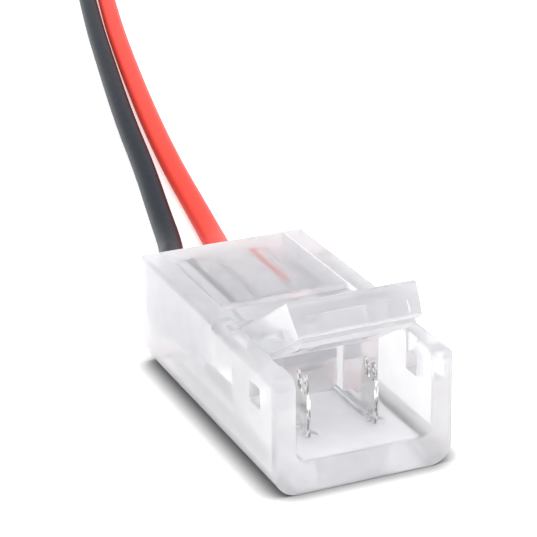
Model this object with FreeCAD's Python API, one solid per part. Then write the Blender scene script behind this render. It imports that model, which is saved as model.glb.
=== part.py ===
import FreeCAD, Part
import math
import os

from FreeCAD import Vector

# Two-way connector that joins an 8 mm LED strip to a pair of leads, in millimetres.
# The origin is the centre of the housing's underside. The strip goes in at -Y, the leads
# leave at +Y, and +Z is up. The strip lid is shown raised, as the part is supplied.

# The strip, and the tray that takes it
strip_width = 8.0
strip_clearance = 0.2
wall_thickness = 1.4
housing_length = 20.8
front_wall_height = 7.15
rear_wall_height = 7.3
floor_thickness = 2.0
foot_radius = 0.65
bottom_edge_radius = 1.5
front_top_radius = 0.5
rear_top_radius = 0.3
wall_nose_radius = 0.8
end_edge_radius = 0.3
rim_radius = 0.12
overcut = 1.0

# The bulkhead that stops the strip, measured from the front face
bulkhead_inset = 6.8
recess_depth = 0.95
recess_width = 3.8
recess_edge_radius = 0.12
bulkhead_height = 6.95
cover_inset = 11.0

# The strip lid, drawn closed, and how far it stands open
hinge_inset = 8.0
hinge_height = 6.2
lid_open_angle = 31.5
knuckle_radius = 0.8
knuckle_gap = 0.15
pivot_radius = 0.45
pivot_clearance = 0.05
pivot_reach = 0.7
pivot_end_gap = 0.05
pivot_throat = 0.86
lid_side_gap = 0.2
lid_side_draft = 0.2
lid_nose_inset = 0.03
lid_nose_draft = 0.2
lid_nose_bottom = 4.9
lid_corner_radius = 0.35
lid_edge_radius = 0.2
knuckle_web = 1.4
press_height = 4.65
press_width = 7.0
press_inset = 0.4
tooth_depth = 0.15
tooth_pitch = 0.55
tooth_count = 3
core_width = 2.5
core_front_wall = 2.3
core_roof = 0.8
core_radius = 0.3
panel_width = 6.3
panel_height = 0.95
panel_depth = 0.2
panel_rise = 0.2
panel_radius = 0.2

# The catches on the lid's sides and the windows in the walls that take them
catch_inset = 2.05
catch_length = 1.1
catch_height = 0.7
catch_rise = 0.2
catch_reach = 0.12
catch_land = 0.15
catch_clearance = 0.04
window_margin = 0.12
window_sill = 0.3
window_chamfer = 0.1

# The contacts: one flat stamping each, with a fork at both ends
contact_pitch = 4.3
contact_thickness = 0.25
contact_bottom = 0.9
slot_clearance = 0.015
fork_inset = 2.95
fork_width = 1.75
fork_height = 4.5
tine_height = 5.55
tine_spacing = 0.95
tine_neck = 0.3
tine_barb = 0.52
barb_rise = 0.25
tine_slot_gap = 0.2
foot_ring_radius = 0.55
foot_ring_depth = 0.2
rail_width = 0.9
rail_height = 0.3

# The leads: their seats in the housing, and the pressed-in cover over them
lead_diameter = 1.75
lead_clearance = 0.05
lead_height = 3.1
channel_inset = 13.3
black_end_inset = 13.4
red_end_inset = 15.2
rear_fork_inset = 15.6
rear_fork_gap = 0.1
rear_tine_bite = 0.45
mouth_chamfer = 0.25
cover_clearance = 0.03
cover_edge_radius = 0.15
cover_core_width = 1.8
cover_core_roof = 0.9
cover_core_wall = 1.0
rib_reach = 0.2
rib_height = 0.4
rib_length = 5.0
rib_rise = 1.4
strand_diameter = 0.76
strand_length = 5.0

# What follows from them
channel_half = strip_width / 2 + strip_clearance
outer_half = channel_half + wall_thickness
front = -housing_length / 2
rear = housing_length / 2
hinge_y = front + hinge_inset
pocket_y = hinge_y + knuckle_radius + knuckle_gap
pocket_floor = hinge_height - knuckle_radius - knuckle_gap
bulkhead_y = front + bulkhead_inset
cover_y = front + cover_inset
lid_half = channel_half - lid_side_gap
lid_top = hinge_height + knuckle_radius
contact_x = contact_pitch / 2
bar_top = floor_thickness
lead_radius = lead_diameter / 2
above = rear_wall_height + overcut

# Where each free lead runs, from the housing's rear face to its stripped end. It leaves
# level, sinks to the surface that the housing stands on and then lies on it.
black_route = [
    (-2.15, 10.4, 3.1),
    (-2.15, 12.9, 3.1),
    (-1.35, 16.4, 2.88),
    (0.45, 20.8, 2.0),
    (2.3, 25.8, 1.08),
    (4.13, 33.0, 0.88),
    (6.7, 43.0, 0.88),
    (9.7, 56.0, 0.88),
    (13.65, 71.5, 0.88),
    (17.8, 87.5, 0.88),
    (21.87, 101.9, 0.88),
]
red_route = [
    (2.15, 10.4, 3.1),
    (2.15, 12.9, 3.1),
    (2.8, 16.4, 2.88),
    (4.15, 20.8, 2.0),
    (5.57, 25.8, 1.08),
    (7.07, 33.0, 0.88),
    (8.97, 43.0, 0.88),
    (11.85, 56.0, 0.88),
    (15.62, 71.5, 0.88),
    (19.75, 87.5, 0.88),
    (23.81, 101.6, 0.88),
]

# How much of the shorter run each of a lead's bends takes up, on either side of its point
bend_share = 0.45
# Two points closer than this are the same point
same_point = 1e-6


def placed(along, u, v, w):
    """The point at (u, v) in the section across the named axis, w along that axis."""
    return {"X": Vector(w, u, v), "Y": Vector(u, w, v), "Z": Vector(u, v, w)}[along]


def outline(corners, along, w):
    """Closed wire through corners (u, v, radius), each rounded by its own tangent arc."""
    points = [placed(along, u, v, w) for u, v, _ in corners]
    edges = []
    starts = []
    ends = []
    for i, (_, _, radius) in enumerate(corners):
        corner = points[i]
        into = (corner - points[i - 1]).normalize()
        out = (points[(i + 1) % len(points)] - corner).normalize()
        half_turn = into.getAngle(out) / 2
        reach = radius * math.tan(half_turn)
        starts.append(corner - into * reach)
        ends.append(corner + out * reach)
        if radius > 0:
            bulge = radius / math.cos(half_turn) - radius
            middle = corner + (out - into).normalize() * bulge
            edges.append(Part.Arc(starts[i], middle, ends[i]).toShape())
    for i in range(len(points)):
        leaves = ends[i - 1]
        if (starts[i] - leaves).Length > same_point:
            edges.append(Part.LineSegment(leaves, starts[i]).toShape())
    return Part.Wire(Part.__sortEdges__(edges))


def prism(corners, along, start, end):
    """Solid with a rounded section, pushed along an axis from start to end."""
    push = placed(along, 0, 0, end - start)
    return Part.Face(outline(corners, along, start)).extrude(push)


def rounded_box(xs, ys, zs, along, radius=0.0):
    """Box over three (low, high) pairs, with its edges along one axis rounded."""
    spans = {"X": (ys, zs, xs), "Y": (xs, zs, ys), "Z": (xs, ys, zs)}[along]
    (u0, u1), (v0, v1), (w0, w1) = spans
    corners = [(u0, v0, radius), (u1, v0, radius), (u1, v1, radius), (u0, v1, radius)]
    return prism(corners, along, w0, w1)


def block(xs, ys, zs):
    """Plain box over three (low, high) pairs."""
    return rounded_box(xs, ys, zs, "Z")


def both_sides(shape):
    """The shape together with its mirror image across the middle plane."""
    return shape.fuse(shape.mirror(Vector(0, 0, 0), Vector(1, 0, 0)))


def rod(start, direction, length, radius):
    return Part.makeCylinder(radius, length, start, direction)


def cut_with_rims(shell, cutter, keep):
    """The shell after a cut, and the edges that the cut left in its skin, where kept."""
    body = shell.cut(cutter)
    skins = [Part.Shell(solid.Faces) for solid in (shell, cutter)]
    rim = []
    for edge in body.Edges:
        middle = edge.valueAt((edge.FirstParameter + edge.LastParameter) / 2)
        points = [vertex.Point for vertex in edge.Vertexes] + [middle]
        gaps = [skin.distToShape(Part.Vertex(point))[0] for skin in skins for point in points]
        if max(gaps) < same_point and keep(middle):
            rim.append(edge)
    return body, rim


def shell_blank(first_y, height, top_radius, nose_radius):
    """Outer block of the housing from first_y to the rear, rounded along all its edges."""
    across = [
        (-outer_half, 0, bottom_edge_radius),
        (outer_half, 0, bottom_edge_radius),
        (outer_half, height, top_radius),
        (-outer_half, height, top_radius),
    ]
    along = [
        (first_y, 0, 0),
        (rear, 0, 0),
        (rear, height, rear_top_radius),
        (first_y, height, nose_radius),
    ]
    blank = prism(across, "Y", first_y, rear)
    blank = blank.common(prism(along, "X", -outer_half, outer_half))
    plan = rounded_box(
        (-outer_half, outer_half), (front, rear), (0, height), "Z", end_edge_radius
    )
    return blank.common(plan)


def tray_cut():
    """Channel that the strip lies in, with rounded feet where the walls meet the floor."""
    across = [
        (-channel_half, floor_thickness, foot_radius),
        (channel_half, floor_thickness, foot_radius),
        (channel_half, above, 0),
        (-channel_half, above, 0),
    ]
    return prism(across, "Y", front - overcut, bulkhead_y)


def recess_cut():
    """Recess in the middle of the bulkhead, with rounded edges beside its mouth."""
    half = recess_width / 2
    mouth_half = half + 2 * recess_edge_radius
    plan = [
        (-mouth_half, bulkhead_y - overcut, 0),
        (mouth_half, bulkhead_y - overcut, 0),
        (mouth_half, bulkhead_y, 0),
        (half, bulkhead_y, recess_edge_radius),
        (half, bulkhead_y + recess_depth, recess_edge_radius),
        (-half, bulkhead_y + recess_depth, recess_edge_radius),
        (-half, bulkhead_y, recess_edge_radius),
        (-mouth_half, bulkhead_y, 0),
    ]
    return prism(plan, "Z", floor_thickness, above)


def lid_pocket():
    """Room for the lid's knuckle between the walls."""
    return block(
        (-channel_half, channel_half), (bulkhead_y - overcut, pocket_y), (pocket_floor, above)
    )


def pivot_seats():
    """Open-topped seats in the walls for the lid's two pivots."""
    seat_radius = pivot_radius + pivot_clearance
    seat_depth = lid_side_gap + pivot_reach + pivot_end_gap
    seat = rod(
        Vector(lid_half, hinge_y, hinge_height), Vector(1, 0, 0), seat_depth, seat_radius
    )
    throat = block(
        (lid_half, lid_half + seat_depth),
        (hinge_y - pivot_throat / 2, hinge_y + pivot_throat / 2),
        (hinge_height, above),
    )
    return both_sides(seat.fuse(throat))


def catch_window(reach, head):
    """Room for the lid's catches on both sides, from the windows' sill up to a height."""
    ys = (
        front + catch_inset - window_margin,
        front + catch_inset + catch_length + window_margin,
    )
    sill = lid_nose_bottom + catch_rise - window_sill
    return both_sides(
        rounded_box((channel_half - overcut, reach), ys, (sill, head), "X", window_margin)
    )


def cover_cut():
    """Rear channel that the wire cover is pressed into, and the grooves for its ribs."""
    channel = block(
        (-channel_half, channel_half), (cover_y, rear + overcut), (lead_height, above)
    )
    return channel.fuse(cover_ribs(cover_clearance))


def lead_bores():
    """Round seats of both leads, opening wider at the rear face."""
    bore_radius = lead_radius + lead_clearance
    first_y = front + channel_inset
    seat = rod(
        Vector(contact_x, first_y, lead_height),
        Vector(0, 1, 0),
        rear - first_y + overcut,
        bore_radius,
    )
    mouth = Part.makeCone(
        bore_radius,
        bore_radius + mouth_chamfer,
        mouth_chamfer,
        Vector(contact_x, rear - mouth_chamfer, lead_height),
        Vector(0, 1, 0),
    )
    return both_sides(seat.fuse(mouth))


def contact_rails():
    """Low rails in the tray that stiffen the floor over each contact's bar."""
    return both_sides(
        block(
            (contact_x - rail_width / 2, contact_x + rail_width / 2),
            (front + fork_inset + fork_width / 2, bulkhead_y + recess_depth),
            (floor_thickness - rail_height, floor_thickness + rail_height),
        )
    )


def contact_slots():
    """Slots that the contacts are pressed into from below, and a ring at each front foot."""
    slot_half = contact_thickness / 2 + slot_clearance
    first_y = front + fork_inset - slot_clearance
    last_y = front + rear_fork_inset + fork_width + slot_clearance
    bar = block(
        (contact_x - slot_half, contact_x + slot_half),
        (first_y, last_y),
        (-overcut, bar_top + slot_clearance),
    )
    ring = rod(
        Vector(contact_x, front + fork_inset, floor_thickness - foot_ring_depth),
        Vector(0, 0, 1),
        foot_ring_depth + overcut,
        foot_ring_radius,
    )
    return both_sides(bar.fuse(ring))


def front_walls():
    """Low front of the housing: the channel, the lid's pocket and the catch windows."""
    shell = shell_blank(front, front_wall_height, front_top_radius, wall_nose_radius)
    channel = tray_cut().fuse(lid_pocket())
    walls, rim = cut_with_rims(shell, channel, lambda point: point.y < pocket_y - same_point)
    walls = walls.makeFillet(rim_radius, rim)
    window_head = lid_nose_bottom + catch_rise + catch_height + window_margin
    windows = catch_window(outer_half + overcut, window_head)
    outside = channel_half + same_point
    walls, rim = cut_with_rims(walls, windows, lambda point: abs(point.x) > outside)
    walls = walls.makeChamfer(window_chamfer, rim)
    lead_in = catch_window(channel_half + catch_reach + catch_clearance, above)
    return walls.cut(recess_cut()).cut(lead_in)


def housing():
    """Clear lower moulding that everything else sits in."""
    high = shell_blank(pocket_y, rear_wall_height, rear_top_radius, rear_top_radius)
    body = front_walls().fuse(high).removeSplitter()
    bulkhead_top = block(
        (-channel_half, channel_half), (pocket_y - overcut, cover_y), (bulkhead_height, above)
    )
    body = body.cut(bulkhead_top)
    body = body.cut(pivot_seats())
    body = body.cut(cover_cut())
    body = body.cut(lead_bores())
    body = body.fuse(contact_rails())
    return body.cut(contact_slots()).cut(both_sides(contact(contact_x, slot_clearance)))


def lid_plate():
    """The lid's outer form, closed: drafted sides and nose, and a round knuckle behind."""
    nose = front + lid_nose_inset
    web_y = hinge_y - knuckle_web
    web_bottom = hinge_height - knuckle_radius
    side = [
        (nose, lid_nose_bottom, lid_edge_radius),
        (nose + lid_nose_draft, lid_top, lid_edge_radius),
        (hinge_y + knuckle_radius, lid_top, knuckle_radius),
        (hinge_y + knuckle_radius, web_bottom, knuckle_radius),
        (web_y, web_bottom, 0),
        (web_y, lid_nose_bottom, 0),
    ]
    across = [
        (-lid_half + lid_side_draft, lid_nose_bottom, 0),
        (lid_half - lid_side_draft, lid_nose_bottom, 0),
        (lid_half, lid_top, lid_edge_radius),
        (-lid_half, lid_top, lid_edge_radius),
    ]
    plate = prism(side, "X", -lid_half, lid_half)
    plate = plate.common(prism(across, "Y", nose, hinge_y + knuckle_radius))
    plan = rounded_box(
        (-lid_half, lid_half),
        (nose, hinge_y + knuckle_radius + lid_corner_radius),
        (lid_nose_bottom, lid_top),
        "Z",
        lid_corner_radius,
    )
    return plate.common(plan)


def press_block():
    """Raised pad under the lid that pushes the strip onto the tines, with gripping teeth."""
    first_y = front + press_inset
    half = press_width / 2
    pad = block(
        (-half, half), (first_y, hinge_y - knuckle_web), (press_height, lid_nose_bottom)
    )
    for i in range(tooth_count):
        y = first_y + i * tooth_pitch
        tooth = [
            (y, press_height, 0),
            (y + tooth_pitch / 2, press_height - tooth_depth, 0),
            (y + tooth_pitch, press_height, 0),
        ]
        pad = pad.fuse(prism(tooth, "X", -half, half))
    return pad


def lid_cores():
    """Hollows under the lid: the middle core, a slot over each fork and the nose panel."""
    core = rounded_box(
        (-core_width / 2, core_width / 2),
        (front + core_front_wall, hinge_y - knuckle_web - core_roof),
        (press_height - overcut, lid_top - core_roof),
        "Z",
        core_radius,
    )
    slot_half = contact_thickness / 2 + tine_slot_gap
    slot = block(
        (contact_x - slot_half, contact_x + slot_half),
        (front + fork_inset - tine_slot_gap, front + fork_inset + fork_width + 2 * tine_slot_gap),
        (press_height - overcut, tine_height + tine_slot_gap),
    )
    panel_bottom = lid_nose_bottom + panel_rise
    panel = rounded_box(
        (-panel_width / 2, panel_width / 2),
        (front - overcut, front + lid_nose_inset + panel_depth),
        (panel_bottom, panel_bottom + panel_height),
        "Y",
        panel_radius,
    )
    return core.fuse(both_sides(slot)).fuse(panel)


def catches():
    """Wedge on each side of the lid that ends in the wall's window when the lid is shut."""
    tip = channel_half + catch_reach
    root = lid_half - lid_side_draft - lid_edge_radius
    bottom = lid_nose_bottom + catch_rise
    top = bottom + catch_height
    wedge = [
        (root, bottom, 0),
        (tip, top - 2 * catch_land, 0),
        (tip, top - catch_land, 0),
        (root, top, 0),
    ]
    first_y = front + catch_inset
    return both_sides(prism(wedge, "Y", first_y, first_y + catch_length))


def pivots():
    """Round stubs that the lid turns on."""
    inner = lid_half - knuckle_radius
    stub = rod(
        Vector(inner, hinge_y, hinge_height),
        Vector(1, 0, 0),
        knuckle_radius + lid_side_gap + pivot_reach,
        pivot_radius,
    )
    return both_sides(stub)


def strip_lid():
    lid = lid_plate().fuse(press_block()).cut(lid_cores()).fuse(catches()).fuse(pivots())
    lid = lid.removeSplitter()
    lid.rotate(Vector(0, hinge_y, hinge_height), Vector(1, 0, 0), -lid_open_angle)
    return lid


def tine(y, root, tip):
    """Outline of one spear-shaped tine, from its rear shoulder over the tip to its front."""
    barb = root + barb_rise
    return [
        (y + tine_neck / 2, root),
        (y + tine_barb / 2, barb),
        (y, tip),
        (y - tine_barb / 2, barb),
        (y - tine_neck / 2, root),
    ]


def fork(first_y, shoulder, tip):
    """Outline of one fork, from its rear foot to its front foot, with its pair of tines."""
    middle = first_y + fork_width / 2
    points = [(first_y + fork_width, shoulder)]
    points += tine(middle + tine_spacing / 2, shoulder, tip)
    points += tine(middle - tine_spacing / 2, shoulder, tip)
    return points + [(first_y, shoulder)]


def contact(x, clearance=0.0):
    """Flat stamping: a bar under the floor with a fork standing up at each end."""
    front_fork_y = front + fork_inset
    rear_fork_y = front + rear_fork_inset
    rear_shoulder = lead_height - lead_radius - rear_fork_gap
    points = [(front_fork_y, contact_bottom), (rear_fork_y + fork_width, contact_bottom)]
    points += fork(rear_fork_y, rear_shoulder, lead_height + rear_tine_bite)
    points += [(rear_fork_y, bar_top), (front_fork_y + fork_width, bar_top)]
    points += fork(front_fork_y, fork_height, tine_height)
    corners = [(y, z, 0) for y, z in points]
    half = contact_thickness / 2 + clearance
    return prism(corners, "X", x - half, x + half)


def cover_ribs(clearance):
    """Snap ribs along the wire cover's sides; with a clearance, the grooves they sit in."""
    middle = (cover_y + rear) / 2
    reach = channel_half + rib_reach
    bottom = lead_height + rib_rise
    return both_sides(
        block(
            (channel_half - rib_reach, reach + clearance),
            (middle - rib_length / 2 - clearance, middle + rib_length / 2 + clearance),
            (bottom - clearance, bottom + rib_height + clearance),
        )
    )


def wire_cover():
    """Thick cover pressed in over the leads, hollowed between them from below."""
    half = channel_half - cover_clearance
    first_y = cover_y + cover_clearance
    bottom = lead_height + cover_clearance
    across = [
        (-half, bottom, 0),
        (half, bottom, 0),
        (half, rear_wall_height, cover_edge_radius),
        (-half, rear_wall_height, cover_edge_radius),
    ]
    along = [
        (first_y, bottom, 0),
        (rear, bottom, 0),
        (rear, rear_wall_height, rear_top_radius),
        (first_y, rear_wall_height, cover_edge_radius),
    ]
    cover = prism(across, "Y", first_y, rear).common(prism(along, "X", -half, half))
    core = rounded_box(
        (-cover_core_width / 2, cover_core_width / 2),
        (first_y + cover_core_wall, rear - cover_core_wall),
        (bottom - overcut, rear_wall_height - cover_core_roof),
        "Z",
        core_radius,
    )
    return cover.cut(core).cut(lead_bores()).fuse(cover_ribs(0))


def seated_end(x, end_inset):
    """Insulated end of a lead inside the housing, pierced by the rear fork."""
    first_y = front + end_inset
    end = rod(Vector(x, first_y, lead_height), Vector(0, 1, 0), rear - first_y, lead_radius)
    return end.cut(contact(x))


def route_path(points):
    """Straight runs joined by arcs, each as large as the shorter run beside it allows."""
    edges = []
    radii = []
    start = points[0]
    for before, corner, after in zip(points, points[1:], points[2:]):
        reach = bend_share * min((corner - before).Length, (after - corner).Length)
        into = (corner - before).normalize()
        out = (after - corner).normalize()
        half_turn = into.getAngle(out) / 2
        radius = reach / math.tan(half_turn)
        radii.append(radius)
        first = corner - into * reach
        last = corner + out * reach
        middle = corner + (out - into).normalize() * (radius / math.cos(half_turn) - radius)
        edges.append(Part.LineSegment(start, first).toShape())
        edges.append(Part.Arc(first, middle, last).toShape())
        start = last
    edges.append(Part.LineSegment(start, points[-1]).toShape())
    return Part.Wire(edges), radii


def free_lead(name, route):
    """Round insulated lead swept along its route."""
    points = [Vector(*point) for point in route]
    path, radii = route_path(points)
    ring = Part.Circle(points[0], (points[1] - points[0]).normalize(), lead_radius)
    lead = path.makePipeShell([Part.Wire(ring.toShape())], True, True)
    section = math.pi * lead_radius**2
    print(name, "radii", [round(radius, 1) for radius in radii])
    print(name, "length", round(path.Length, 2), "volume share", lead.Volume / section / path.Length)
    return lead


def stripped_end(route):
    """Tinned strands that stand out of the lead's free end."""
    before, last = Vector(*route[-2]), Vector(*route[-1])
    return rod(last, (last - before).normalize(), strand_length, strand_diameter / 2)


def export(name, shape):
    solid = shape.Solids[0] if len(shape.Solids) == 1 else shape
    print(name, "valid", solid.isValid(), "solids", len(shape.Solids), "volume", round(shape.Volume, 3))
    solid.exportStep(f"parts/{name}.step")


def main():
    os.makedirs("parts", exist_ok=True)
    export("housing", housing())
    export("strip_lid", strip_lid())
    export("wire_cover", wire_cover())
    export("contact_left", contact(-contact_x))
    export("contact_right", contact(contact_x))
    export("black_lead_end", seated_end(-contact_x, black_end_inset))
    export("red_lead_end", seated_end(contact_x, red_end_inset))
    export("black_lead", free_lead("black_lead", black_route))
    export("red_lead", free_lead("red_lead", red_route))
    export("black_lead_strands", stripped_end(black_route))
    export("red_lead_strands", stripped_end(red_route))


main()
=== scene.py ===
# %% [markdown]
# # A clear connector for an LED strip
# The real object is three clear mouldings, two tinned contacts and a pair of thin
# leads. The loaded solids already have the right form, rounded edges included, so most
# of this lesson is about finish: slightly milky plastic, tinned metal, and PVC. Only
# what a solid can't show is made here: the leads as smooth lines, and the twisted
# strands at their ends. Everything is in metres, and the frame comes first because
# every piece is placed by it.

# %% Load the frame
import math

import bmesh
import bpy
import numpy as np
from mathutils import Matrix, Vector


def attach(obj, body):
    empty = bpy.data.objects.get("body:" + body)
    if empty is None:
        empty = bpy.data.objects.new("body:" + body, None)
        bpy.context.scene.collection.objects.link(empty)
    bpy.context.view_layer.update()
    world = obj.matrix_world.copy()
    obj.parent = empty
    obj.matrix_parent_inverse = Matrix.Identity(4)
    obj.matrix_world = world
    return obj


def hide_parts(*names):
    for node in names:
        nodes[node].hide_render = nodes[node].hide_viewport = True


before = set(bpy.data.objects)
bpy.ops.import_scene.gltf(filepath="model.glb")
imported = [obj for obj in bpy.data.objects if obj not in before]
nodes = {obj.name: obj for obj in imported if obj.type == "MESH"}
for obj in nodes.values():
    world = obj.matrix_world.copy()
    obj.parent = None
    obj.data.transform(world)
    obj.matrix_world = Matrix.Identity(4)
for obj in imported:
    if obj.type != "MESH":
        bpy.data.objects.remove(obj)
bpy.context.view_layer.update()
mm = 0.001
print("nodes", sorted(nodes))

# %% [markdown]
# ## The camera
# The photograph was taken with a long lens, from the front and a little from the left,
# looking down on the part. The camera is placed first, so that every finish is judged
# from there. A camera could be aimed with a Track To constraint, but three angles say
# exactly how it stands, its small roll included.

# %% Camera directions
camera_azimuth = math.radians(23.35)
camera_drop = math.radians(21.91)
camera_roll = math.radians(-0.84)


def camera_axes():
    """Right, up and forward: forward is azimuth round from +Y and drop below level.

    Right and up are then turned by the roll about forward.
    """
    forward = Vector(
        (
            math.sin(camera_azimuth) * math.cos(camera_drop),
            math.cos(camera_azimuth) * math.cos(camera_drop),
            -math.sin(camera_drop),
        )
    )
    right = forward.cross(Vector((0, 0, 1))).normalized()
    up = right.cross(forward)
    turned_right = right * math.cos(camera_roll) + up * math.sin(camera_roll)
    turned_up = up * math.cos(camera_roll) - right * math.sin(camera_roll)
    return turned_right, turned_up, forward


print("camera looks along", [round(x, 3) for x in camera_axes()[2]])

# %% [markdown]
# A camera looks along its own -Z, so its matrix has the right, up and backward
# directions as columns.

# %% Camera
camera_place = Vector((-46.49, -104.74, 55.25)) * mm
lens_mm = 139.8
sensor_mm = 36.0


def photo_camera():
    """Camera at its place, with its axes as the columns of its rotation."""
    data = bpy.data.cameras.new("photo_camera")
    data.lens = lens_mm
    data.sensor_width = sensor_mm
    data.clip_start = 1 * mm
    data.clip_end = 10.0
    camera = bpy.data.objects.new("photo_camera", data)
    bpy.context.scene.collection.objects.link(camera)
    right, up, forward = camera_axes()
    rotation = Matrix((right, up, -forward)).transposed().to_4x4()
    camera.matrix_world = Matrix.Translation(camera_place) @ rotation
    return camera


bpy.context.scene.camera = photo_camera()
print("camera at", [round(x, 4) for x in bpy.context.scene.camera.location])

# %% [markdown]
# ## The leads
# Two soft PVC leads leave the rear level, sink to the surface and lie on it in a long
# shallow bend. Each is planned as a route of a few points in millimetres, close
# together where the lead sinks and far apart where it lies.

# %% Routes of the leads
lead_diameter = 1.75 * mm
black_route = [
    (-2.15, 10.4, 3.1),
    (-2.15, 12.9, 3.1),
    (-1.35, 16.4, 2.88),
    (0.45, 20.8, 2.0),
    (2.3, 25.8, 1.08),
    (4.13, 33.0, 0.88),
    (6.7, 43.0, 0.88),
    (9.7, 56.0, 0.88),
    (13.65, 71.5, 0.88),
    (17.8, 87.5, 0.88),
    (21.87, 101.9, 0.88),
]
red_route = [
    (2.15, 10.4, 3.1),
    (2.15, 12.9, 3.1),
    (2.8, 16.4, 2.88),
    (4.15, 20.8, 2.0),
    (5.57, 25.8, 1.08),
    (7.07, 33.0, 0.88),
    (8.97, 43.0, 0.88),
    (11.85, 56.0, 0.88),
    (15.62, 71.5, 0.88),
    (19.75, 87.5, 0.88),
    (23.81, 101.6, 0.88),
]
print("route points", len(black_route), "and", len(red_route))

# %% [markdown]
# A lead has no corners, so each is one smooth NURBS line along its route, with a round
# bevel. A mesh tube would look the same, but a line keeps the length that makes it a
# real lead. The bevel's depth is multiplied by each point's radius, and Blender adds
# that radius to a curve's box, so here the radius is the lead's real one and the depth
# is 1.

# %% Lead curves
def lead_curve(name, route):
    """Quadratic NURBS line with the route as its control points, bevelled round."""
    curve = bpy.data.curves.new(name, "CURVE")
    curve.dimensions = "3D"
    spline = curve.splines.new("NURBS")
    spline.points.add(len(route) - 1)
    points = np.ones((len(route), 4))
    points[:, :3] = np.array(route) * mm
    spline.points.foreach_set("co", points.ravel())
    spline.points.foreach_set("radius", np.full(len(route), lead_diameter / 2))
    spline.order_u = 3
    spline.use_endpoint_u = True
    spline.resolution_u = 16
    curve.bevel_depth = 1.0
    curve.bevel_resolution = 8
    curve.use_fill_caps = True
    lead = bpy.data.objects.new(name, curve)
    bpy.context.scene.collection.objects.link(lead)
    return lead


black_lead = lead_curve("black_lead_line", black_route)
red_lead = lead_curve("red_lead_line", red_route)
for lead in (black_lead, red_lead):
    print(lead.name, round(lead.data.splines[0].calc_length() / mm, 1), "mm long")

# %% [markdown]
# ## The twisted strands
# A lead is sold with its last few millimetres stripped, twisted and tinned, ready to
# solder. A plain rod would do from afar, but the twist is what the eye expects. Six
# wires wind round a straight one, so each is a circle carried along a helix, and the
# whole bundle is one array.

# %% Wires of a bundle
strand_length = 5.0 * mm
bundle_diameter = 0.76 * mm
twist_pitch = 4.5 * mm


def twisted_wires(start, direction, steps=72, sides=14):
    """Seven wires along an axis.

    A wire's middle is start + s * axis + h * (cos(w s + a) across + sin(w s + a) up).
    Here h is zero for the core and a third of the bundle's diameter for the six outer
    wires, w is a full turn in each pitch, and a grows by a sixth of a turn from wire to
    wire. Around it goes a circle of a sixth of that diameter, drawn in to a point at
    both ends.
    """
    axis = np.array(direction) / np.linalg.norm(direction)
    across = np.cross(axis, (0, 0, 1))
    across /= np.linalg.norm(across)
    up = np.cross(across, axis)
    wire_radius = bundle_diameter / 6
    s = strand_length * (0.5 - 0.5 * np.cos(np.linspace(0, np.pi, steps)))
    to_end = np.clip(np.minimum(s, strand_length - s) / wire_radius, 0, 1)
    radius = wire_radius * np.sqrt(np.clip(1 - (1 - to_end) ** 2, 0, 1))
    helix = np.array([0] + [bundle_diameter / 3] * 6)
    begin = np.array([0] + [k * math.pi / 3 for k in range(6)])
    turn = 2 * math.pi / twist_pitch * s[None, :] + begin[:, None]
    outward = np.cos(turn)[..., None] * across + np.sin(turn)[..., None] * up
    middle = np.array(start) + s[None, :, None] * axis + helix[:, None, None] * outward
    side = np.cross(axis, outward)
    v = np.linspace(0, 2 * math.pi, sides, endpoint=False)[:, None]
    circle = np.cos(v) * outward[:, :, None, :] + np.sin(v) * side[:, :, None, :]
    return middle[:, :, None, :] + radius[:, None, None] * circle


print("wires, steps, corners, axes:", twisted_wires((0, 0, 0), (0, 1, 0)).shape)

# %% [markdown]
# The points lie on a grid, so the faces only count along it. The rings at both ends
# have shrunk to a point: merging their points closes the wires.

# %% Faces and mesh
merge_distance = 1e-7


def tube_faces(tubes, steps, sides):
    """Four-cornered faces that join each ring of every tube to the next one."""
    tube, ring, corner = np.meshgrid(
        np.arange(tubes), np.arange(steps - 1), np.arange(sides), indexing="ij"
    )
    first = (tube * steps + ring) * sides
    second = first + sides
    after = (corner + 1) % sides
    faces = (first + corner, first + after, second + after, second + corner)
    return np.stack(faces, axis=-1).reshape(-1, 4)


def surface(name, points, faces):
    """Mesh object with its place in its mesh, ends merged and faces turned outwards."""
    mesh = bpy.data.meshes.new(name)
    mesh.from_pydata(points.reshape(-1, 3).tolist(), [], faces.tolist())
    work = bmesh.new()
    work.from_mesh(mesh)
    bmesh.ops.remove_doubles(work, verts=work.verts, dist=merge_distance)
    bmesh.ops.recalc_face_normals(work, faces=work.faces)
    work.to_mesh(mesh)
    work.free()
    mesh.shade_smooth()
    piece = bpy.data.objects.new(name, mesh)
    bpy.context.scene.collection.objects.link(piece)
    return piece


print("faces of one wire in three rings of four:", len(tube_faces(1, 3, 4)))

# %% [markdown]
# Each bundle starts where its lead's line ends and carries on in the same direction.

# %% Strands on both leads
def stripped_strands(name, node, route):
    """Strands that carry on from a lead's last point, along its last run."""
    last, before = np.array(route[-1]) * mm, np.array(route[-2]) * mm
    points = twisted_wires(last, last - before)
    strands = surface(name, points, tube_faces(*points.shape[:3]))
    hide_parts(node)
    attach(strands, "body")
    return strands


black_strands = stripped_strands("black_lead_twist", "black_lead_strands", black_route)
red_strands = stripped_strands("red_lead_twist", "red_lead_strands", red_route)
print("strands", len(black_strands.data.polygons), "faces each")

# %% [markdown]
# ## The leads in place of their solids
# Each lead's solid is hidden, and its line rides on the housing's body.

def declare_lead(lead, node):
    """Lets the lead replace its solid, which is hidden, and ride on the housing's body.
    """
    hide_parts(node)
    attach(lead, "body")


declare_lead(black_lead, "black_lead")
declare_lead(red_lead, "red_lead")
print("leads leave at", black_route[0], "and", red_route[0])

# %% [markdown]
# ## Writing materials as expressions
# Each finish below is a small tree of shader nodes. Nodes could be placed and linked
# one by one, which takes pages. Instead one class wraps a socket, so that sums and
# products of sockets add their Math nodes, and one method makes any other node.

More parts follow.
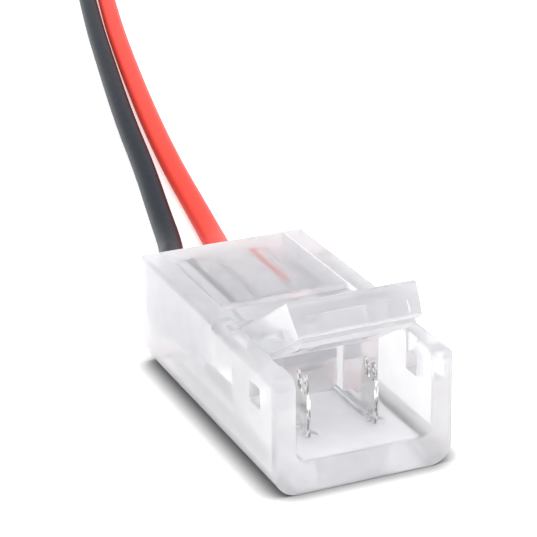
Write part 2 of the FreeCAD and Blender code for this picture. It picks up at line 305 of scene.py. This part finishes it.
# %% A socket with arithmetic
class Socket:
    """A node's output. Arithmetic on it adds Math nodes to the same tree."""

    def __init__(self, tree, output):
        self.tree = tree
        self.output = output

    def combine(self, operation, *values):
        return self.tree.add("ShaderNodeMath", {"operation": operation}, values)

    def __add__(self, other):
        return self.combine("ADD", self, other)

    def __radd__(self, other):
        return self.combine("ADD", other, self)

    def __sub__(self, other):
        return self.combine("SUBTRACT", self, other)

    def __rsub__(self, other):
        return self.combine("SUBTRACT", other, self)

    def __mul__(self, other):
        return self.combine("MULTIPLY", self, other)

    def __rmul__(self, other):
        return self.combine("MULTIPLY", other, self)

    def __pow__(self, other):
        return self.combine("POWER", self, other)

    def __rpow__(self, other):
        return self.combine("POWER", other, self)

    def __gt__(self, other):
        return self.combine("GREATER_THAN", self, other)

    def __lt__(self, other):
        return self.combine("LESS_THAN", self, other)

    def __abs__(self):
        return self.combine("ABSOLUTE", self)

    def axis(self, letter):
        """One axis of a vector."""
        return self.tree.add("ShaderNodeSeparateXYZ", values=[self], output=letter)


print("a socket takes part in + - * ** > < and abs")

# %% [markdown]
# A node's settings, such as a Math node's operation, can change which inputs it has, so
# they are set first. A list then fills the inputs in order, and a dictionary by name.

# %% A tree that adds nodes
class Tree:
    """A material's node tree, with one method that adds any node."""

    def __init__(self, name):
        self.material = bpy.data.materials.new(name)
        self.material.use_nodes = True
        self.nodes = self.material.node_tree.nodes
        self.links = self.material.node_tree.links
        self.nodes.clear()

    def add(self, kind, settings=None, values=(), output=0):
        """Adds a node: its settings first, then a value or a socket for each input."""
        node = self.nodes.new(kind)
        for name, value in (settings or {}).items():
            setattr(node, name, value)
        pairs = values.items() if isinstance(values, dict) else enumerate(values)
        for key, value in pairs:
            if isinstance(value, Socket):
                self.links.new(value.output, node.inputs[key])
            else:
                node.inputs[key].default_value = value
        return Socket(self, node.outputs[output]) if node.outputs else None

    def place(self):
        """The piece's own coordinates, which stay on it as it moves."""
        return self.add("ShaderNodeTexCoord", output="Object")

    def finish(self, shader):
        self.add("ShaderNodeOutputMaterial", values={"Surface": shader})
        return self.material


print("materials before the first finish:", len(bpy.data.materials))

# %% [markdown]
# ## Patterns
# A finish that is the same all over looks like a render. What varies it here is noise,
# a mix of two colours, and ramps that find a place on the piece by its coordinates.

# %% Noise, mixes and ramps
def noise(where, scale, detail=2.0):
    """Grey noise between 0 and 1, with scale in repeats a metre."""
    return where.tree.add(
        "ShaderNodeTexNoise",
        values={"Vector": where, "Scale": scale, "Detail": detail},
        output="Fac",
    )


def mixed_colour(factor, first, second):
    """Colour that goes from first to second as factor goes from 0 to 1."""
    return factor.tree.add(
        "ShaderNodeMix",
        {"data_type": "RGBA"},
        {"Factor": factor, 6: first, 7: second},
        output=2,
    )


def ramp(value, zero, one, shape="LINEAR"):
    """0 where value is at zero or before, 1 at one or past it, and a slope between."""
    return value.tree.add(
        "ShaderNodeMapRange",
        {"interpolation_type": shape},
        {"Value": value, "From Min": zero, "From Max": one},
    )


def between(value, limits, soft):
    """1 between two limits in millimetres, with soft shoulders outside them."""
    low, high = limits
    rise = ramp(value, (low - soft) * mm, low * mm)
    fall = ramp(value, (high + soft) * mm, high * mm)
    return rise * fall


print("helpers", noise.__name__, mixed_colour.__name__, ramp.__name__, between.__name__)

# %% [markdown]
# ## Milky clear plastic
# The mouldings are clear polycarbonate, but not like a window: thick clear parts from a
# small tool carry a faint haze that catches the light, so near parts show through and
# far ones fade. A cloudy volume could do that and takes minutes to render. Here a share
# of the surface scatters light, some of it onward and some of it back, and the rest
# refracts. The walls where the wire cover is pressed in are scuffed and the rear end
# was left rough, so both scatter more, and what lies behind them fades. These places
# come first, as limits in millimetres on the piece.

# %% Frosted places
seam_wall = (4.14, 4.22)
seam_run = (0.5, 10.5)
seam_height = (3.0, 7.2)
rear_end = (10.37, 10.5)


def pressed_seam(place):
    """1 on the walls where the wire cover is pressed into the housing, 0 elsewhere."""
    side = abs(place.axis("X"))
    behind = between(place.axis("Y"), seam_run, soft=0.05)
    above = between(place.axis("Z"), seam_height, soft=0.05)
    return between(side, seam_wall, soft=0.02) * behind * above


def rear_face(place):
    """1 on the flat rear end, which the real tool leaves rougher, 0 elsewhere."""
    return between(place.axis("Y"), rear_end, soft=0.03)


print("frost", seam_run[1] - seam_run[0], "mm along the cover, and on the rear end")

# %% [markdown]
# Slow noise varies the share of milk, as the flow of the melt does, and gives the walls
# their gentle ripple. Fine noise takes the edge off their gloss. Each moulding is
# shifted in the noise, because no two would come out alike.

# %% Milky clear plastic
milk_share = 0.4
milk_drift = 0.16
seam_frost = 0.55
white_share = 0.15
milk_colour = (0.95, 0.95, 0.97, 1)
clear_colour = (0.97, 0.97, 0.98, 1)
polycarbonate_ior = 1.58
flow_scale, flow_part = 260.0, 0.8
grain_scale, grain_part = 1400.0, 0.2
ripple_depth = 0.03 * mm
polish = 0.06


def milky_plastic(name, shift):
    """Refracting shader mixed with translucent and diffuse milk in a drifting share."""
    tree = Tree(name)
    place = tree.place()
    where = tree.add(
        "ShaderNodeMapping", values={"Vector": place, "Location": (shift * mm, 0, 0)}
    )
    flow = noise(where, flow_scale)
    grain = noise(where, grain_scale)
    ripple = flow * flow_part + grain * grain_part
    bump = tree.add(
        "ShaderNodeBump",
        values={"Strength": 0.3, "Distance": ripple_depth, "Height": ripple},
    )
    clear = tree.add(
        "ShaderNodeBsdfPrincipled",
        values={
            "Base Color": clear_colour,
            "Roughness": grain * polish + polish,
            "IOR": polycarbonate_ior,
            "Transmission Weight": 1.0,
            "Coat Weight": 0.6,
            "Coat Roughness": 0.04,
            "Normal": bump,
        },
    )
    onward = tree.add("ShaderNodeBsdfTranslucent", values={"Color": milk_colour})
    back = tree.add("ShaderNodeBsdfDiffuse", values={"Color": milk_colour})
    milk = tree.add("ShaderNodeMixShader", values=[white_share, onward, back])
    frost = pressed_seam(place) + rear_face(place)
    share = flow * milk_drift + (milk_share - milk_drift / 2) + frost * seam_frost
    return tree.finish(tree.add("ShaderNodeMixShader", values=[share, clear, milk]))


housing_plastic = milky_plastic("housing_plastic", 0)
lid_plastic = milky_plastic("lid_plastic", 7)
cover_plastic = milky_plastic("cover_plastic", 13)
print("plastic", housing_plastic.name, lid_plastic.name, cover_plastic.name)

# %% [markdown]
# ## Tinned metal
# The contacts are stamped from thin sheet and tinned: bright and smooth on the flat.
# A picture of scored metal would stretch over the forks, so noise stretched along Z
# draws upright scores, and the face's own normal makes them much darker on the narrow
# cut edges, the faces that look along Y. The strands are duller.

# %% Tinned metal
score_scale = 9000.0
score_stretch = (1, 1, 0.2)
score_limits = (0.58, 0.4)
score_depth = 0.01 * mm
edge_dark, flat_dark = 0.8, 0.12


def tinned_metal(name, shade, colour, roughness, marks_share):
    """Metal scored along Z by noise, and darker there on faces that look along Y."""
    tree = Tree(name)
    sheared = tree.add(
        "ShaderNodeMapping", values={"Vector": tree.place(), "Scale": score_stretch}
    )
    marks = noise(sheared, score_scale, detail=3.0)
    score = ramp(marks, *score_limits, "SMOOTHSTEP")
    facing = tree.add("ShaderNodeTexCoord", output="Normal").axis("Y")
    cut_edge = facing * facing
    dark = score * (cut_edge * edge_dark + flat_dark)
    bump = tree.add(
        "ShaderNodeBump",
        values={"Strength": 0.2, "Distance": score_depth, "Height": marks},
    )
    shader = tree.add(
        "ShaderNodeBsdfPrincipled",
        values={
            "Base Color": mixed_colour(dark, colour, shade),
            "Metallic": 1.0,
            "Roughness": marks * marks_share + roughness,
            "Normal": bump,
        },
    )
    return tree.finish(shader)


contact_tin = tinned_metal(
    "contact_tin",
    shade=(0.3, 0.3, 0.31, 1),
    colour=(0.86, 0.86, 0.85, 1),
    roughness=0.08,
    marks_share=0.14,
)
strand_tin = tinned_metal(
    "strand_tin",
    shade=(0.4, 0.39, 0.37, 1),
    colour=(0.7, 0.69, 0.66, 1),
    roughness=0.25,
    marks_share=0.2,
)
print("metal", contact_tin.name, strand_tin.name)

# %% [markdown]
# ## PVC insulation
# Extruded PVC is smooth and slightly waxy. One roughness all over would look like
# paint, so fine noise breaks up its sheen, and a slower one shifts its colour a little
# along the lead.

# %% PVC
pvc_grain_scale = 2200.0
pvc_grain_depth = 0.02 * mm
pvc_roughness, pvc_grain_part = 0.34, 0.12
pvc_ior = 1.53


def insulation(colour, place):
    """PVC shader for a colour socket, with grain in its roughness and height."""
    grain = noise(place, pvc_grain_scale, detail=3.0)
    bump = place.tree.add(
        "ShaderNodeBump",
        values={"Strength": 0.15, "Distance": pvc_grain_depth, "Height": grain},
    )
    return place.tree.add(
        "ShaderNodeBsdfPrincipled",
        values={
            "Base Color": colour,
            "Roughness": grain * pvc_grain_part + pvc_roughness,
            "IOR": pvc_ior,
            "Specular IOR Level": 0.07,
            "Normal": bump,
        },
    )


print("PVC grain", round(1 / pvc_grain_scale / mm, 2), "mm across")

# %% [markdown]
# A free lead is one colour, but not flatly so. Black insulation is really a very dark
# blue grey, and red fades a little towards orange, so each drifts between two colours.

# %% Free leads
drift_scale, drift_part = 90.0, 0.5
black_colour, black_faded = (0.006, 0.009, 0.016, 1), (0.011, 0.018, 0.034, 1)
red_colour, red_faded = (0.9, 0.055, 0.035, 1), (0.86, 0.075, 0.05, 1)


def lead_pvc(name, colour, faded):
    """Insulation of a free lead, its colour drifting slowly towards a faded one."""
    tree = Tree(name)
    place = tree.place()
    drift = noise(place, drift_scale) * drift_part
    return tree.finish(insulation(mixed_colour(drift, colour, faded), place))


black_pvc = lead_pvc("black_pvc", black_colour, black_faded)
red_pvc = lead_pvc("red_pvc", red_colour, red_faded)
print("insulation", black_pvc.name, red_pvc.name)

# %% [markdown]
# ## The leads' ends under the cover
# Inside the housing the photograph shows each lead only as a thin line, where the
# pressed-in cover squeezes the insulation against its roof. Beside that line the haze
# and the air gap hide it. The mix of surface shaders above has no depth, so the seated
# ends carry this themselves: full colour along the squeezed crest, and beside it a pale
# grey painted onto the lead, which stands for the light the haze scatters over it.

# %% Seated ends
lead_offset = 2.15 * mm
crest_width = 0.6 * mm
crest_height = 3.8 * mm
crest_edge = (0.8, 0.35)
painted_haze_grey = (0.93, 0.93, 0.94, 1)


def seated_pvc(name, colour, middle):
    """Colour along the crest, high and near the axis; elsewhere painted grey for haze
    light.
    """
    tree = Tree(name)
    place = tree.place()
    distance = abs(place.axis("X") - middle)
    outer, inner = (crest_width * part for part in crest_edge)
    crest = ramp(distance, outer, inner, "SMOOTHSTEP")
    upper = place.axis("Z") > crest_height
    # Away from the crest the lead is painted pale grey, for the light the haze scatters
    # over it.
    shown = mixed_colour(crest * upper, painted_haze_grey, colour)
    return tree.finish(insulation(shown, place))


black_seated = seated_pvc("black_pvc_seated", black_colour, -lead_offset)
red_seated = seated_pvc("red_pvc_seated", red_colour, lead_offset)
print("seated ends", black_seated.name, red_seated.name)

# %% [markdown]
# ## Which piece gets which finish
# The mouldings, contacts and seated ends are loaded solids, so their plain materials
# are cleared first. The leads and strands were made here and have none yet.

# %% Give each piece its finish
finishes = {
    "housing": housing_plastic,
    "strip_lid": lid_plastic,
    "wire_cover": cover_plastic,
    "contact_left": contact_tin,
    "contact_right": contact_tin,
    "black_lead_end": black_seated,
    "red_lead_end": red_seated,
}
for name, finish in finishes.items():
    mesh = nodes[name].data
    mesh.materials.clear()
    mesh.materials.append(finish)
black_lead.data.materials.append(black_pvc)
red_lead.data.materials.append(red_pvc)
for strands in (black_strands, red_strands):
    strands.data.materials.append(strand_tin)
print("finished", list(finishes))

# %% [markdown]
# ## The light table
# Small clear parts are photographed in a white tent on a light table, a white sheet
# that also glows a little, so that light comes up through the plastic. Where an opaque
# part meets the table there is a dark line, but light rays that leak through the
# plastic's surface mix wash it out here. So a contact shadow is painted into the
# table's colour and glow round the housing, by Ambient Occlusion, a node that measures
# how closed in a point is.

# %% The table's finish
shadow_reach = 1.7 * mm
shadow_falloff = 1.8
table_glow = 0.45
footprint = {"X": (4.1, 0.2), "Y": (10.15, 0.15)}
surroundings = {"X": (8.0, 1.0), "Y": (12.4, 0.6)}
white, black = (1, 1, 1, 1), (0, 0, 0, 1)
sheet_white, painted_shadow_colour = (0.9, 0.9, 0.9, 1), (0.02, 0.02, 0.02, 1)


def within(place, area):
    """1 inside a rectangle, given as half its size and its soft edge for each axis."""
    sides = []
    for letter, (half, soft) in area.items():
        distance = abs(place.axis(letter))
        sides.append(ramp(distance, (half + soft) * mm, (half - soft) * mm))
    return sides[0] * sides[1]


def light_table():
    """White sheet that glows, with a shadow painted into its colour and glow
    in the closed-in strip round the housing's foot.

    The painted shadow's darkness is the product of three: near the housing, not
    under it, and closed in.
    """
    tree = Tree("light_table")
    place = tree.place()
    opening = tree.add(
        "ShaderNodeAmbientOcclusion",
        {"samples": 8},
        {"Distance": shadow_reach},
        output="AO",
    )
    closed_in = 1 - opening**shadow_falloff
    # Painted contact shadow: colour and glow go dark near the housing, outside its
    # foot, where closed in.
    outside_painted_shadow = 1 - within(place, surroundings) * (1 - within(place, footprint)) * closed_in
    shader = tree.add(
        "ShaderNodeBsdfPrincipled",
        values={
            "Base Color": mixed_colour(outside_painted_shadow, painted_shadow_colour, sheet_white),
            "Roughness": 0.6,
            "Specular IOR Level": 0.2,
            "Emission Color": mixed_colour(outside_painted_shadow, black, white),
            "Emission Strength": table_glow,
        },
    )
    return tree.finish(shader)


table_with_painted_shadow = light_table()
print("table glows", table_glow, "and darkens within", shadow_reach / mm, "mm")

# %% [markdown]
# The table lies a hair below the part: two surfaces in one place would flicker.

# %% Table
table_half_size = 1.5
table_drop = 0.03 * mm


def white_table():
    """Square sheet whose four corners are computed."""
    corners = np.array(((-1, -1), (1, -1), (1, 1), (-1, 1))) * table_half_size
    points = np.column_stack((corners, np.full(4, -table_drop)))
    mesh = bpy.data.meshes.new("table")
    mesh.from_pydata(points.tolist(), [], [(0, 1, 2, 3)])
    table = bpy.data.objects.new("table", mesh)
    bpy.context.scene.collection.objects.link(table)
    mesh.materials.append(table_with_painted_shadow)
    return table


print("stage", white_table().name)

# %% [markdown]
# ## The light
# The tent is a white world that lights the part evenly from all sides. A large soft
# lamp overhead gives the top edges their shine and the table its brightness, and a
# small, weak one at the front left lifts the faces that look at the camera. One bare
# sun would be simpler, but its hard shadow and single glint make clear plastic look
# like glass.

# %% Lamps and tent
lamp_target = (0, 0, 0.004)
tent_strength = 0.9


def soft_lamp(name, place, size, power):
    """Square lamp at a place, turned towards the part."""
    data = bpy.data.lights.new(name, "AREA")
    data.shape = "SQUARE"
    data.size = size
    data.energy = power
    lamp = bpy.data.objects.new(name, data)
    bpy.context.scene.collection.objects.link(lamp)
    aim = (Vector(lamp_target) - Vector(place)).to_track_quat("-Z", "Y")
    lamp.matrix_world = Matrix.Translation(place) @ aim.to_matrix().to_4x4()
    return lamp


front_lamp = soft_lamp("front_softbox", place=(-0.3, -0.38, 0.3), size=0.2, power=0.3)
top_lamp = soft_lamp("top_softbox", place=(-0.1, 0.0, 0.6), size=0.45, power=1.9)

world = bpy.data.worlds.new("light_tent")
bpy.context.scene.world = world
world.use_nodes = True
background = world.node_tree.nodes["Background"]
background.inputs["Color"].default_value = white
background.inputs["Strength"].default_value = tent_strength
bpy.context.scene.view_settings.view_transform = "Standard"
print("lamps", front_lamp.name, top_lamp.name, "in a tent of", tent_strength)
